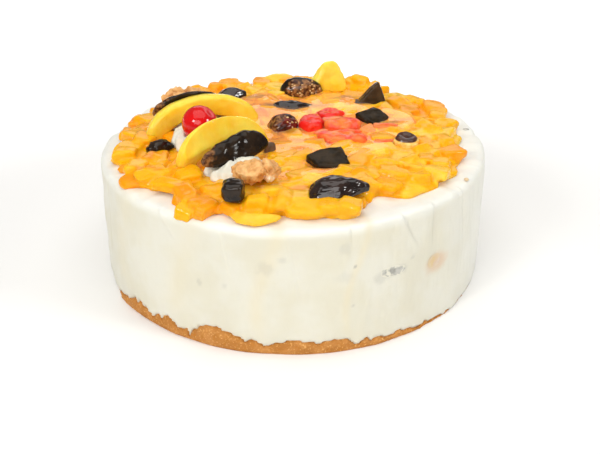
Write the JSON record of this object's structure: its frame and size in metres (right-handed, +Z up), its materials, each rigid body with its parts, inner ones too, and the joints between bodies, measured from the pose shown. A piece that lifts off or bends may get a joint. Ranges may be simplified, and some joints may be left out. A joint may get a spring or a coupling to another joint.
{
  "type": "fruit-topped cream cake",
  "caption": "Round white cream cake on a biscuit base, topped with chopped peach, dark fig pieces, peach arches, walnuts and a cherry.",
  "frame": {"origin": "middle of the underside, under the centre of the round outline", "axes": "+Z is up through the cake, +Y points away from the side that the decoration faces, +X to the right of it"},
  "size_m": [0.2006, 0.2006, 0.0895],
  "materials": {
    "biscuit": "baked crumb, dry",
    "cream": "soft satin cream",
    "peach": "wet, glazed",
    "fig": "syrup gloss",
    "red_fruit": "wet, glazed",
    "cherry": "syrup gloss",
    "walnut": "dry kernel skin"
  },
  "bodies": {
    "root": {"biscuit_base": "biscuit", "cream_body": "cream", "side_fig_bit": "fig", "side_peach_bit": "peach", "peach_topping": "peach", "peach_arch_front": "peach", "peach_arch_back": "peach", "peach_chunk_back": "peach", "walnut_front": "walnut", "walnut_back": "walnut", "cherry": "cherry", "fig_strip_front": "fig", "fig_strip_back": "fig", "fig_half_front": "fig", "fig_half_middle": "fig", "fig_half_left": "fig", "fig_half_behind": "fig", "fig_half_back": "fig", "fig_half_seeded": "fig", "fig_chunk_front": "fig", "fig_chunk_right": "fig", "fig_chunk_edge": "fig", "fig_wedge": "fig", "fig_disc": "fig", "fig_bit": "fig", "red_fruit_left": "red_fruit", "red_fruit_back": "red_fruit", "red_fruit_middle": "red_fruit", "red_fruit_front": "red_fruit", "cream_rosette_front": "cream", "cream_rosette_middle": "cream", "cream_rosette_back": "cream"}
  },
  "joints": []
}
